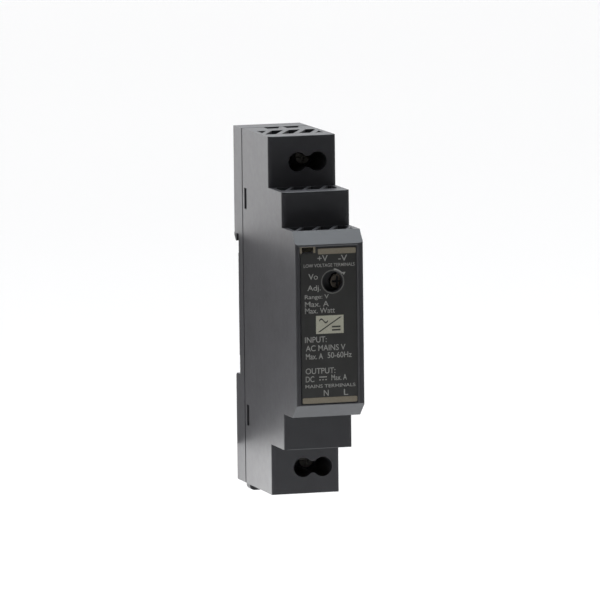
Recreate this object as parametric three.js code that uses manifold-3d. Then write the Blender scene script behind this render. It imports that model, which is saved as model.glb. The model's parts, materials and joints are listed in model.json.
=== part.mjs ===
// A slim power supply that snaps onto a 35 mm DIN rail.
//
// Millimetres. The origin is the middle of the rail seat: the flat land that the rail's
// face lies against. +X is right, seen from the front. The front panel faces -Y and the
// rail lies at +Y. +Z is up, with the output terminals on top and the mains terminals below.

import * as THREE from 'three';
import { mergeVertices } from 'three/addons/utils/BufferGeometryUtils.js';
import Module from 'manifold-3d';

const wasm = await Module();
wasm.setup();

// ---- Driving dimensions -------------------------------------------------------------

const WIDTH = 17.5;
const HALF_WIDTH = WIDTH / 2;
const REAR_Y = 3.5;
const SEAM_Y = -4.1;

// The case steps out three times towards the front panel. edge is the chamfer along a tier's
// upper and lower front edges.
const TIERS = {
  terminal: { frontY: -28, halfHeight: 45, edge: 0.1 },
  middle: { frontY: -39.5, halfHeight: 32.2, edge: 0.1 },
  nose: { frontY: -51, halfHeight: 23.4 },
};
const NOSE_TOP_BEVEL = { depth: 3, height: 3.2 };
const NOSE_LOW_BEVEL = { depth: 4.2, height: 3.45 };
// The nose ends a little higher below than above.
const NOSE_LOW_RISE = 0.25;
// The upright front edges are rounded further across the face than down the side.
const CORNER_ROUND = { across: 1.3, deep: 0.4 };
// A shadow gap runs round the case where the housing meets the cover.
const SEAM_GAP = { width: 0.65, depth: 0.5 };

const WALL = 1.2;
const SIDE_WALL = 1.3;
const FRONT_WALL = 1.8;
const INNER_HALF_WIDTH = HALF_WIDTH - SIDE_WALL;
const NOSE_INNER_Y = TIERS.nose.frontY + FRONT_WALL;
const FIT = 0.1;

// The rail: 35 mm wide, with flanges 1 mm thick.
const RAIL_HALF_HEIGHT = 17.5;
const RAIL_SLOT_HALF = RAIL_HALF_HEIGHT + 0.3;
const SEAT_HALF_HEIGHT = 13;
const SEAT_LAND = 0.3;
const HOOK_FRONT_Y = 1.25;
const RAIL_FLOOR = 1.5;

// The two poles of each terminal block.
const POLE_PITCH = 5.08;
const POLE_MIDDLE_X = 1.5;
const POLES_X = [POLE_MIDDLE_X - POLE_PITCH / 2, POLE_MIDDLE_X + POLE_PITCH / 2];
const POLE_Z = 38.4;
const WIRE_Y = -6.4;
// The square wire entries have sloping sides at the case's face.
const WIRE_ENTRY = { half: 1.6, faceHalf: 2.1, slopeDepth: 0.6 };
// The lower screw opening sits a little further right than the upper one.
const SCREW_OPENING = { topX: 1.5, bottomX: 1.95, radius: 2.45, neckHalf: 1.45, fillet: 0.8 };
const SCREW_HEAD_Y = -15;
const SCREW_HEAD_LENGTH = 1.6;
const SCREW_TIP_Y = -8.75;
const SCREW_RADIUS = 1.25;
const SCREW_HEAD_RADIUS = 1.9;
const CAGE = { front: -10.2, rear: -4.1, halfWidth: 2.05, halfHeight: 2.2, bar: 1, wall: 0.45 };
const CONTACT = { front: -8.7, rear: -7.9, halfWidth: 1.4 };
const BLOCK = { left: -4.3, right: 6.55, front: -15.3, rear: -3.3, low: 32.5, high: 43.4 };

// The front panel's openings. The label's seat has sloping sides.
const LABEL = { left: -7.4, right: 6.95, low: -19.4, high: 19.45, depth: 0.4, slope: 0.5 };
const LABEL_THICKNESS = 0.2;
const LABEL_GAP = 0.05;
const TRIM_HOLE = { x: 0.8, z: 10.85, radius: 2.55 };
const TRIM = { x: 2.5, z: 10.7, rotorRadius: 1.8 };
const LIGHT = { left: -7.05, right: -4.05, low: 18.35, high: 19.6 };

// The snap windows in the side walls, and the cover's noses in them.
const SNAP = { z: 27.47, halfHeight: 2.65, front: -8.1, rear: -6.15, noseInset: 0.5 };

// The sliding rail latch.
const LATCH = { halfWidth: 6.4, ribHalfWidth: 5.5, front: 0.2, flangeRear: 2.25, rear: 3.35 };
const LATCH_TIP_Z = -16.3;
const LATCH_TAB_Z = -47.7;
const SPRING = { radius: 1.05, wire: 0.2, low: -39.6, high: -28.55, turns: 7 };

// The circuit board stands on edge along the left wall, with its parts towards +X.
const BOARD = { left: -6, right: -4.4 };
const PART_X = BOARD.right + FIT;

// ---- Shape helpers ------------------------------------------------------------------

const AXES = {
  x: new THREE.Matrix4().makeBasis(
    new THREE.Vector3(0, 1, 0), new THREE.Vector3(0, 0, 1), new THREE.Vector3(1, 0, 0)),
  y: new THREE.Matrix4().makeBasis(
    new THREE.Vector3(1, 0, 0), new THREE.Vector3(0, 0, 1), new THREE.Vector3(0, -1, 0)),
  z: new THREE.Matrix4(),
};

function toSolid(geometry) {
  const plain = geometry.clone();
  plain.deleteAttribute('normal');
  plain.deleteAttribute('uv');
  const merged = mergeVertices(plain, 1e-4);
  return new wasm.Manifold(new wasm.Mesh({
    numProp: 3,
    vertProperties: new Float32Array(merged.attributes.position.array),
    triVerts: new Uint32Array(merged.index.array),
  }));
}

function toGeometry(solid) {
  const mesh = solid.getMesh();
  const geometry = new THREE.BufferGeometry();
  const positions = new Float32Array(mesh.vertProperties);
  geometry.setAttribute('position', new THREE.BufferAttribute(positions, 3));
  geometry.setIndex(new THREE.BufferAttribute(new Uint32Array(mesh.triVerts), 1));
  geometry.computeVertexNormals();
  return geometry;
}

// A box between two values on each axis, given in either order.
function box(x0, x1, y0, y1, z0, z1) {
  const geometry = new THREE.BoxGeometry(Math.abs(x1 - x0), Math.abs(y1 - y0), Math.abs(z1 - z0));
  geometry.translate((x0 + x1) / 2, (y0 + y1) / 2, (z0 + z1) / 2);
  return toSolid(geometry);
}

// An outline extruded along an axis. The outline's own axes are the other two, in X, Y, Z order.
function prism(axis, outline, from, to) {
  const low = Math.min(from, to);
  const high = Math.max(from, to);
  const shape = new THREE.Shape(outline.map(([u, v]) => new THREE.Vector2(u, v)));
  const geometry = new THREE.ExtrudeGeometry(shape, { depth: high - low, bevelEnabled: false });
  geometry.applyMatrix4(AXES[axis]);
  const start = axis === 'y' ? high : low;
  geometry.translate(axis === 'x' ? start : 0, axis === 'y' ? start : 0, axis === 'z' ? start : 0);
  return toSolid(geometry);
}

// A round bar along an axis, through the given centre on the other two axes.
function rod(axis, centre, radius, from, to, sides = 24) {
  const geometry = new THREE.CylinderGeometry(radius, radius, Math.abs(to - from), sides);
  const middle = (from + to) / 2;
  if (axis === 'x') {
    geometry.rotateZ(Math.PI / 2);
    geometry.translate(middle, centre[0], centre[1]);
  } else if (axis === 'y') {
    geometry.translate(centre[0], middle, centre[1]);
  } else {
    geometry.rotateX(Math.PI / 2);
    geometry.translate(centre[0], centre[1], middle);
  }
  return toSolid(geometry);
}

// Points along an arc, in degrees, both ends included.
function arc(u, v, radiusU, radiusV, fromDegrees, toDegrees, steps) {
  return Array.from({ length: steps + 1 }, (_, step) => {
    const angle = THREE.MathUtils.degToRad(
      fromDegrees + ((toDegrees - fromDegrees) * step) / steps);
    return [u + radiusU * Math.cos(angle), v + radiusV * Math.sin(angle)];
  });
}

function roundedRectangle(u0, u1, v0, v1, radius, steps = 4) {
  return [
    ...arc(u1 - radius, v1 - radius, radius, radius, 0, 90, steps),
    ...arc(u0 + radius, v1 - radius, radius, radius, 90, 180, steps),
    ...arc(u0 + radius, v0 + radius, radius, radius, 180, 270, steps),
    ...arc(u1 - radius, v0 + radius, radius, radius, 270, 360, steps),
  ];
}

// A closed outline moved inwards by a distance, given anticlockwise.
function inset(outline, distance) {
  const count = outline.length;
  const edges = outline.map(([u, v], i) => {
    const [nextU, nextV] = outline[(i + 1) % count];
    const length = Math.hypot(nextU - u, nextV - v);
    const along = [(nextU - u) / length, (nextV - v) / length];
    return { along, start: [u - along[1] * distance, v + along[0] * distance] };
  });
  return edges.map((edge, i) => {
    const before = edges[(i + count - 1) % count];
    const cross = before.along[0] * edge.along[1] - before.along[1] * edge.along[0];
    if (Math.abs(cross) < 1e-9) return edge.start;
    const du = edge.start[0] - before.start[0];
    const dv = edge.start[1] - before.start[1];
    const t = (du * edge.along[1] - dv * edge.along[0]) / cross;
    return [before.start[0] + before.along[0] * t, before.start[1] + before.along[1] * t];
  });
}

function union(solids) {
  return solids.reduce((whole, solid) => whole.add(solid));
}

function cut(solid, tools) {
  return tools.reduce((left, tool) => left.subtract(tool), solid);
}

// ---- Materials ----------------------------------------------------------------------

function material(color, roughness, metalness = 0) {
  return new THREE.MeshStandardMaterial({ color, roughness, metalness });
}

const MATERIALS = {
  housing: material(0x3b3b3f, 0.5),
  label: material(0x2a2826, 0.4),
  lens: material(0x1b1813, 0.2),
  latch: material(0x16161a, 0.5),
  steel: material(0xa8a8a4, 0.3, 1),
  brass: material(0xb08d4a, 0.3, 1),
  board: material(0x1f5a35, 0.5),
  sheet: material(0xd8d4c0, 0.6),
  terminal: material(0x1d1d1f, 0.6),
  bronze: material(0x5a544e, 0.45, 0.8),
  ceramic: material(0x2c5f9e, 0.6),
  thermistor: material(0x1d2a24, 0.6),
  film: material(0xd9b83a, 0.5),
  ferrite: material(0x3a3a3c, 0.7),
  copper: material(0xb06a35, 0.4, 1),
  tape: material(0xd8c23c, 0.5),
  chip: material(0x151515, 0.6),
  can: material(0x22242e, 0.4),
  aluminium: material(0xb8b8ba, 0.4, 1),
  resistor: material(0x8fa8b8, 0.6),
  led: material(0x3fae49, 0.2),
  fuse: material(0x6b5a48, 0.5),
};

// ---- The case -----------------------------------------------------------------------

// A tier's plan outline, with its two front corners rounded.
function tierPlan(frontY) {
  const { across, deep } = CORNER_ROUND;
  return [
    [-HALF_WIDTH, SEAM_Y],
    ...arc(-HALF_WIDTH + across, frontY + deep, across, deep, 180, 270, 4),
    ...arc(HALF_WIDTH - across, frontY + deep, across, deep, 270, 360, 4),
    [HALF_WIDTH, SEAM_Y],
  ];
}

// A tier's side outline in Y and Z, with its upper and lower front edges chamfered.
function tierSide({ frontY, halfHeight, edge }) {
  return [
    [SEAM_Y, -halfHeight],
    [SEAM_Y, halfHeight],
    [frontY + edge, halfHeight],
    [frontY, halfHeight - edge],
    [frontY, -halfHeight + edge],
    [frontY + edge, -halfHeight],
  ];
}

// The nose's side outline: bevelled above and below the panel.
function noseSide() {
  const { frontY, halfHeight } = TIERS.nose;
  const bottom = -halfHeight + NOSE_LOW_RISE;
  return [
    [SEAM_Y, bottom],
    [SEAM_Y, halfHeight],
    [frontY + NOSE_TOP_BEVEL.depth, halfHeight],
    [frontY, halfHeight - NOSE_TOP_BEVEL.height],
    [frontY, bottom + NOSE_LOW_BEVEL.height],
    [frontY + NOSE_LOW_BEVEL.depth, bottom],
  ];
}

// A ring as deep as the gap round the rear rim.
function seamGap() {
  const { width, depth } = SEAM_GAP;
  const end = TIERS.terminal.halfHeight;
  const inner = HALF_WIDTH - depth;
  return cut(
    box(-WIDTH, WIDTH, SEAM_Y - width, SEAM_Y + 1, -end - 1, end + 1),
    [box(-inner, inner, SEAM_Y - width - 1, SEAM_Y + 2, -end + depth, end - depth)]);
}

function outerCase() {
  const { terminal, middle, nose } = TIERS;
  const sides = [[terminal, tierSide(terminal)], [middle, tierSide(middle)], [nose, noseSide()]];
  const tiers = sides.map(([tier, side]) =>
    prism('z', tierPlan(tier.frontY), -tier.halfHeight, tier.halfHeight)
      .intersect(prism('x', side, -HALF_WIDTH, HALF_WIDTH)));
  return cut(union(tiers), [seamGap()]);
}

function innerCase() {
  const { terminal, middle } = TIERS;
  const [terminalRoom, middleRoom] = [terminal, middle].map((tier) => {
    const half = tier.halfHeight - WALL;
    return box(-INNER_HALF_WIDTH, INNER_HALF_WIDTH, tier.frontY + WALL, SEAM_Y + 1, -half, half);
  });
  const noseRoom = prism('x', inset(noseSide(), WALL), -INNER_HALF_WIDTH, INNER_HALF_WIDTH)
    .intersect(box(-WIDTH, WIDTH, NOSE_INNER_Y, 0, -TIERS.nose.halfHeight, TIERS.nose.halfHeight));
  return union([terminalRoom, middleRoom, noseRoom]);
}

// Two round screw openings joined by a narrow neck with filleted sides.
function screwOpening() {
  const { radius, neckHalf, fillet } = SCREW_OPENING;
  const half = POLE_PITCH / 2;
  const reach = Math.sqrt((radius + fillet) ** 2 - (neckHalf + fillet) ** 2);
  const filletU = half - reach;
  const filletV = neckHalf + fillet;
  const join = THREE.MathUtils.radToDeg(Math.atan2(filletV, -reach));
  const quarter = [
    ...arc(half, 0, radius, radius, 0, join, 10),
    ...arc(filletU, filletV, fillet, fillet, join - 180, -90, 3).slice(1),
  ];
  const upperHalf = [...quarter, ...quarter.map(([u, v]) => [-u, v]).reverse()];
  const lowerHalf = upperHalf.map(([u, v]) => [u, -v]).reverse().slice(1, -1);
  return [...upperHalf, ...lowerHalf];
}

function placed(outline, u, v) {
  return outline.map(([pointU, pointV]) => [pointU + u, pointV + v]);
}

// A row of slanted ventilation slots through a wall that lies across Z.
function ventRow({ front, rear, firstX, slotWidth, low, high }) {
  const count = 5;
  const pitch = 4.4;
  const slant = 0.5;
  const edge = INNER_HALF_WIDTH - 0.05;
  const slots = Array.from({ length: count }, (_, i) => {
    const x = firstX + i * pitch;
    const lean = (rear - front) * slant;
    return prism('z', [
      [x, front], [x + slotWidth, front], [x + slotWidth + lean, rear], [x + lean, rear],
    ], low, high);
  });
  return union(slots).intersect(box(-edge, edge, front, rear, low, high));
}

function openingX(side) {
  return side > 0 ? SCREW_OPENING.topX : SCREW_OPENING.bottomX;
}

// A square wire entry in an end wall, with its sloping sides.
function wireEntry(x, side) {
  const { half, faceHalf, slopeDepth } = WIRE_ENTRY;
  const face = TIERS.terminal.halfHeight;
  const beyond = 1;
  const spread = (faceHalf - half) * (beyond / slopeDepth);
  const corners = (z, reach) => [
    [x - reach, WIRE_Y - reach, z], [x + reach, WIRE_Y - reach, z],
    [x + reach, WIRE_Y + reach, z], [x - reach, WIRE_Y + reach, z],
  ];
  const slope = wasm.Manifold.hull([
    ...corners(side * (face - slopeDepth), half),
    ...corners(side * (face + beyond), faceHalf + spread),
  ]);
  const shaft = box(x - half, x + half, WIRE_Y - half, WIRE_Y + half,
    side * (face - 2 * WALL), side * face);
  return shaft.add(slope);
}

// One end's openings: screws, wires and vents. side is 1 for the top and -1 for the bottom.
function endOpenings(side) {
  const { terminal, middle, nose } = TIERS;
  const [endSlot, ledgeSlot] = [2.9, 3.45];
  const behindLedge = 0.2;
  const dumbbell = placed(screwOpening(), openingX(side), side * POLE_Z);
  const walls = [
    { top: terminal.halfHeight, front: -22.3, rear: -13.4, firstX: -12.3, slotWidth: endSlot },
    { top: middle.halfHeight, front: -35, rear: terminal.frontY - behindLedge, firstX: -10,
      slotWidth: ledgeSlot },
    { top: nose.halfHeight, front: side > 0 ? -47.3 : -46, rear: middle.frontY - behindLedge,
      firstX: -11.35, slotWidth: ledgeSlot },
  ];
  const vents = walls.map(({ top, ...row }) =>
    ventRow({ ...row, low: Math.min(side * (top - 2), side * (top + 1)),
      high: Math.max(side * (top - 2), side * (top + 1)) }));
  const wires = POLES_X.map((x) => wireEntry(x, side));
  return [prism('y', dumbbell, terminal.frontY - 1, SCREW_HEAD_Y), ...vents, ...wires];
}

// The deep collar that leads a screwdriver from the front wall to the screws.
function screwCollar(side) {
  const collar = roundedRectangle(-5.7, 5.75, -3.3, 3.3, 2, 4);
  return prism('y', placed(collar, openingX(side), side * POLE_Z),
    TIERS.terminal.frontY + 0.5, BLOCK.front - 0.2);
}

// A rectangle in X and Z at a given depth, as four points.
function panelCorners(y, spread) {
  const x0 = LABEL.left - spread;
  const x1 = LABEL.right + spread;
  const z0 = LABEL.low - spread;
  const z1 = LABEL.high + spread;
  return [[x0, y, z0], [x1, y, z0], [x1, y, z1], [x0, y, z1]];
}

// The label's seat: a shallow tray that widens towards the front.
function labelSeat() {
  const floor = TIERS.nose.frontY + LABEL.depth;
  const above = TIERS.nose.frontY - LABEL.depth;
  return wasm.Manifold.hull([...panelCorners(floor, 0), ...panelCorners(above, 2 * LABEL.slope)]);
}

function frontHousing() {
  const shell = cut(outerCase(), [innerCase()]);
  const withCollars = union([shell, screwCollar(1), screwCollar(-1)]);
  const panelHoles = [
    rod('y', [TRIM_HOLE.x, TRIM_HOLE.z], TRIM_HOLE.radius, -52, -48, 32),
    box(LIGHT.left, LIGHT.right, -52, -48, LIGHT.low, LIGHT.high),
  ];
  const snapWindows = [-1, 1].flatMap((sideX) => [-1, 1].map((sideZ) =>
    box(sideX * (INNER_HALF_WIDTH - 1), sideX * (HALF_WIDTH + 1), SNAP.front, SNAP.rear,
      sideZ * (SNAP.z - SNAP.halfHeight), sideZ * (SNAP.z + SNAP.halfHeight))));
  return cut(withCollars,
    [labelSeat(), ...panelHoles, ...snapWindows, ...endOpenings(1), ...endOpenings(-1)]);
}

// The cover's outer block, with its four rear edges chamfered.
function coverBlock() {
  const chamfer = 0.25;
  const end = TIERS.terminal.halfHeight;
  const plan = [
    [-HALF_WIDTH, SEAM_Y], [HALF_WIDTH, SEAM_Y], [HALF_WIDTH, REAR_Y - chamfer],
    [HALF_WIDTH - chamfer, REAR_Y], [-HALF_WIDTH + chamfer, REAR_Y], [-HALF_WIDTH, REAR_Y - chamfer],
  ];
  const side = [
    [SEAM_Y, -end], [REAR_Y - chamfer, -end], [REAR_Y, -end + chamfer],
    [REAR_Y, end - chamfer], [REAR_Y - chamfer, end], [SEAM_Y, end],
  ];
  return prism('z', plan, -end, end).intersect(prism('x', side, -HALF_WIDTH, HALF_WIDTH));
}

// The fixed hook over the rail's upper edge, in Y and Z, with a slanted lead-in.
function fixedHook() {
  return prism('x', [
    [HOOK_FRONT_Y, RAIL_SLOT_HALF + 0.2],
    [HOOK_FRONT_Y, 16],
    [2, 15.85],
    [REAR_Y, 17.3],
    [REAR_Y, RAIL_SLOT_HALF + 0.2],
  ], -HALF_WIDTH, HALF_WIDTH);
}

// The lips that go inside the housing, with a snap arm and its nose at each window.
function coverLips() {
  const outer = INNER_HALF_WIDTH - FIT;
  const inner = outer - 0.65;
  const bottom = SNAP.z - SNAP.halfHeight + 0.2;
  const top = SNAP.z + SNAP.halfHeight - 0.2;
  return [-1, 1].flatMap((sideX) => [
    box(sideX * inner, sideX * outer, SEAM_Y + 1.5, -6, -42, 42),
    ...[-1, 1].flatMap((sideZ) => [
      box(sideX * inner, sideX * outer, SEAM_Y + 1.5, -8.8, sideZ * bottom, sideZ * top),
      box(sideX * inner, sideX * (HALF_WIDTH - SNAP.noseInset), SNAP.front + 0.6, SNAP.rear - 0.15,
        sideZ * bottom, sideZ * top),
    ]),
  ]);
}

function rearCover() {
  const roomEnd = TIERS.terminal.halfHeight - 1.4;
  const roomStart = RAIL_SLOT_HALF + 1.7;
  const room = INNER_HALF_WIDTH - 0.1;
  const channelEnd = -TIERS.terminal.halfHeight - 1;
  const flangeHalf = LATCH.halfWidth + 0.2;
  const ribHalf = LATCH.ribHalfWidth + 0.2;
  const slotSide = [
    [-SEAT_LAND, -RAIL_SLOT_HALF], [REAR_Y - 0.8, -RAIL_SLOT_HALF],
    [REAR_Y + 1, -RAIL_SLOT_HALF - 1.8], [REAR_Y + 1, RAIL_SLOT_HALF],
    [-SEAT_LAND, RAIL_SLOT_HALF], [-SEAT_LAND, SEAT_HALF_HEIGHT], [0, SEAT_HALF_HEIGHT],
    [0, -SEAT_HALF_HEIGHT], [-SEAT_LAND, -SEAT_HALF_HEIGHT],
  ];
  const hollowed = cut(coverBlock(), [
    box(-room, room, SEAM_Y - 1, REAR_Y - 1.6, roomStart, roomEnd),
    box(-room, room, SEAM_Y - 1, -RAIL_FLOOR - SEAT_LAND, -roomStart, roomStart + 1),
    box(-room, room, SEAM_Y - 1, -1.2, -roomEnd, -roomStart + 1),
    prism('x', slotSide, -WIDTH, WIDTH),
    box(-flangeHalf, flangeHalf, 0, LATCH.flangeRear + 0.15, channelEnd, -RAIL_SLOT_HALF + 0.5),
    box(-ribHalf, ribHalf, 0, REAR_Y + 1, channelEnd, -RAIL_SLOT_HALF + 0.5),
  ]);
  const springPost = box(-1.5, 1.5, -0.5, 3, SPRING.low - 1.2, SPRING.low - 0.05);
  return union([hollowed, fixedHook(), springPost, ...coverLips()]);
}

// ---- The rail latch -----------------------------------------------------------------

function railLatch() {
  const end = -TIERS.terminal.halfHeight;
  const flangeTop = -RAIL_SLOT_HALF - 0.4;
  const flange = box(-LATCH.halfWidth, LATCH.halfWidth, LATCH.front, LATCH.flangeRear, end - 0.2,
    flangeTop);
  const ribSide = [
    [LATCH.front, end], [LATCH.rear, end], [LATCH.rear, LATCH_TIP_Z - 1.9],
    [LATCH.rear - 1, LATCH_TIP_Z], [HOOK_FRONT_Y + 0.1, LATCH_TIP_Z],
    [HOOK_FRONT_Y + 0.1, flangeTop], [LATCH.front, flangeTop],
  ];
  const rib = prism('x', ribSide, -LATCH.ribHalfWidth, LATCH.ribHalfWidth);
  const tabOutline = [
    [LATCH.halfWidth, end - 0.1],
    ...arc(LATCH.halfWidth - 1.2, LATCH_TAB_Z + 1.2, 1.2, 1.2, 360, 270, 5),
    ...arc(-LATCH.halfWidth + 1.2, LATCH_TAB_Z + 1.2, 1.2, 1.2, 270, 180, 5),
    [-LATCH.halfWidth, end - 0.1],
  ];
  const tab = prism('y', tabOutline, LATCH.front, LATCH.rear);
  const springRoom = box(-1.7, 1.7, -1, REAR_Y + 1, SPRING.low - 1.35, SPRING.high + 0.1);
  const screwdriverSlot = box(-2, 2, LATCH.rear - 2, REAR_Y + 1, end - 1.9, end - 0.7);
  return cut(union([flange, rib, tab]), [springRoom, screwdriverSlot]);
}

class Helix extends THREE.Curve {
  getPoint(t, target = new THREE.Vector3()) {
    const angle = t * SPRING.turns * Math.PI * 2;
    const end = SPRING.wire + 0.02;
    const height = THREE.MathUtils.lerp(SPRING.low + end, SPRING.high - end, t);
    return target.set(
      SPRING.radius * Math.cos(angle), 1.65 + SPRING.radius * Math.sin(angle), height);
  }
}

function latchSpring() {
  const section = new THREE.Shape(
    arc(0, 0, SPRING.wire, SPRING.wire, 0, 300, 5).map(([u, v]) => new THREE.Vector2(u, v)));
  const coil = new THREE.ExtrudeGeometry(section,
    { steps: SPRING.turns * 14, bevelEnabled: false, extrudePath: new Helix() });
  return toSolid(coil);
}

// ---- Panel pieces -------------------------------------------------------------------

function frontLabel() {
  const face = TIERS.nose.frontY + LABEL.depth;
  const besideLight = LIGHT.right + 0.3;
  const belowLight = LIGHT.low - 0.3;
  const sheet = prism('y', [
    [LABEL.left + LABEL_GAP, LABEL.low + LABEL_GAP],
    [LABEL.right - LABEL_GAP, LABEL.low + LABEL_GAP],
    [LABEL.right - LABEL_GAP, LABEL.high - LABEL_GAP],
    [besideLight, LABEL.high - LABEL_GAP],
    [besideLight, belowLight],
    [LABEL.left + LABEL_GAP, belowLight],
  ], face - LABEL_THICKNESS, face);
  return cut(sheet, [rod('y', [TRIM_HOLE.x, TRIM_HOLE.z], TRIM_HOLE.radius + 0.15, -52, -48, 32)]);
}

function ledLightPipe() {
  const gap = 0.08;
  const window = box(LIGHT.left + gap, LIGHT.right - gap, TIERS.nose.frontY + 0.2, NOSE_INNER_Y + 0.2,
    LIGHT.low + gap, LIGHT.high - gap);
  const flange = box(LIGHT.left - 0.25, LIGHT.right + 0.4, NOSE_INNER_Y + 0.05, NOSE_INNER_Y + 0.4,
    LIGHT.low - 0.5, LIGHT.high + 0.15);
  return window.add(flange);
}

function trimpotBody() {
  const half = 3.6;
  const body = box(TRIM.x - half, TRIM.x + half, -48.3, -43.6, TRIM.z - half, TRIM.z + half);
  const legs = box(PART_X, TRIM.x - half + 0.5, -47.5, -44.5, TRIM.z - 2.6, TRIM.z + 2.6);
  const seat = rod('y', [TRIM.x, TRIM.z], TRIM.rotorRadius + 0.08, -49, -47.4, 24);
  return cut(body.add(legs), [seat]);
}

function trimpotRotor() {
  const disc = rod('y', [TRIM.x, TRIM.z], TRIM.rotorRadius, -49, -47.5, 24);
  const slots = [
    box(TRIM.x - 1.3, TRIM.x + 1.3, -50, -48.4, TRIM.z - 0.3, TRIM.z + 0.3),
    box(TRIM.x - 0.3, TRIM.x + 0.3, -50, -48.4, TRIM.z - 1.3, TRIM.z + 1.3),
  ];
  return cut(disc, slots);
}

// ---- Terminals ----------------------------------------------------------------------

const FOOT_Z = [34.9, 33.2];
const FOOT_HEIGHT = 0.8;
// The block's room for one clamp cage, and how deep the screw's head sits in it.
const CAGE_ROOM = { halfWidth: 2.15, front: -12.6, rear: -3.9, low: 35.9, high: 40.9 };
const HEAD_SEAT_Y = -13.3;
const CONTACT_TOP = 41.2;

function terminalBlock(side) {
  const body = box(BLOCK.left, BLOCK.right, BLOCK.front, BLOCK.rear, side * BLOCK.low,
    side * BLOCK.high);
  const { halfWidth, front, rear, low, high } = CAGE_ROOM;
  const tools = POLES_X.flatMap((x, pole) => {
    const foot = FOOT_Z[pole];
    const slot = [CONTACT.front - FIT, CONTACT.rear + FIT];
    const wire = WIRE_ENTRY.half + FIT;
    const contact = CONTACT.halfWidth + FIT;
    return [
      rod('y', [x, side * POLE_Z], SCREW_HEAD_RADIUS + FIT, BLOCK.front - 1, HEAD_SEAT_Y, 24),
      rod('y', [x, side * POLE_Z], SCREW_RADIUS + FIT, HEAD_SEAT_Y - 0.7, front + 0.5, 24),
      box(x - halfWidth, x + halfWidth, front, rear, side * low, side * high),
      box(x - wire, x + wire, WIRE_Y - wire, WIRE_Y + wire, side * (high - 0.4),
        side * (BLOCK.high + 1)),
      box(x - contact, x + contact, ...slot, side * (foot - FIT), side * (CONTACT_TOP + FIT)),
      box(BLOCK.left - 1, x, ...slot, side * (foot - FIT), side * (foot + FOOT_HEIGHT + FIT)),
    ];
  });
  return cut(body, tools);
}

function terminalScrew(x, side) {
  const z = side * POLE_Z;
  const headRear = SCREW_HEAD_Y + SCREW_HEAD_LENGTH;
  const head = rod('y', [x, z], SCREW_HEAD_RADIUS, SCREW_HEAD_Y, headRear, 24);
  const shank = rod('y', [x, z], SCREW_RADIUS, headRear - 0.2, SCREW_TIP_Y, 24);
  const slotBottom = SCREW_HEAD_Y + 0.9;
  const recess = [
    box(x - 2.5, x + 2.5, -16, slotBottom, z - 0.3, z + 0.3),
    box(x - 0.3, x + 0.3, -16, slotBottom, z - 1.2, z + 1.2),
  ];
  return cut(head.add(shank), recess);
}

function clampCage(x, side) {
  const z = side * POLE_Z;
  const ring = box(x - CAGE.halfWidth, x + CAGE.halfWidth, CAGE.front, CAGE.rear,
    z - CAGE.halfHeight, z + CAGE.halfHeight);
  const inside = CAGE.halfWidth - CAGE.wall;
  return cut(ring, [
    box(x - inside, x + inside, CAGE.front + CAGE.bar, CAGE.rear - 0.8, z - 3, z + 3),
    rod('y', [x, z], SCREW_RADIUS + 0.07, CAGE.front - 1, CAGE.front + CAGE.bar + 0.5, 24),
  ]);
}

function contactBar(x, side, pole) {
  const foot = FOOT_Z[pole];
  const bar = box(x - CONTACT.halfWidth, x + CONTACT.halfWidth, CONTACT.front, CONTACT.rear,
    side * foot, side * CONTACT_TOP);
  const tail = box(BLOCK.left - 0.05, x, CONTACT.front, CONTACT.rear, side * foot,
    side * (foot + FOOT_HEIGHT));
  return bar.add(tail);
}

// ---- The circuit --------------------------------------------------------------------

function mainBoard() {
  const outline = [
    [-2.1, -42.4], [-2.1, 42.4], [-26.2, 42.4], [-26.2, 30.4], [-37.7, 30.4], [-37.7, 21.6],
    [-46.3, 21.6], [-48.6, 19.3], [-48.6, -18.3], [-45.9, -21.6], [-37.7, -21.6],
    [-37.7, -30.4], [-26.2, -30.4], [-26.2, -42.4],
  ];
  return prism('x', outline, BOARD.left, BOARD.right);
}

function insulationSheet() {
  const outline = [
    [-9.3, -42], [-9.3, 42], [-26, 42], [-26, 30.2], [-37.5, 30.2], [-37.5, 21.4],
    [-45.8, 21.4], [-48.2, 17.4], [-48.2, -17.8], [-45.6, -21.4], [-37.5, -21.4],
    [-37.5, -30.2], [-26, -30.2], [-26, -42],
  ];
  return prism('x', outline, -7.3, -7.05);
}

// A part with a rectangular body that stands on the board, given by its Y and Z extents.
function boardBlock(y0, y1, z0, z1, height, round = 0.4) {
  const outline = roundedRectangle(y0, y1, z0, z1, round, 2);
  return prism('x', outline, PART_X, PART_X + height);
}

// A disc part that stands on edge on the board, with its two leads joined into one foot.
function discPart(y0, y1, z, radius) {
  const disc = rod('y', [PART_X + 0.8 + radius, z], radius, y0, y1, 28);
  const middle = (y0 + y1) / 2;
  const foot = box(PART_X, PART_X + 2, middle - 0.4, middle + 0.4, z - 2, z + 2);
  return disc.add(foot);
}

const CHOKE = { x: 0.9, z: -21, outer: 4.55, bore: 2.6, front: -13.2, rear: -5.2 };
const CHOKE_WIRE = 0.65;

// A ring on the choke's axis, grown by the same amount on every face.
function chokeRing(grow) {
  const centre = [CHOKE.x, CHOKE.z];
  const ring = rod('y', centre, CHOKE.outer + grow, CHOKE.front - grow, CHOKE.rear + grow, 32);
  return cut(ring, [rod('y', centre, CHOKE.bore - grow, CHOKE.front - 2, CHOKE.rear + 2, 24)]);
}

// Half of the choke's winding: a sleeve round one side of the ring. side is 1 or -1 along Z.
function chokeWinding(side) {
  const clear = 0.05;
  const start = CHOKE.z + side * 1.4;
  const halfRoom = box(-5, 6.2, CHOKE.front - 2, CHOKE.rear + 2, start, start + side * 6);
  return cut(chokeRing(CHOKE_WIRE), [chokeRing(clear)]).intersect(halfRoom);
}

const TRANSFORMER = { x: 1.2, y: -11, z: -3 };

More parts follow.
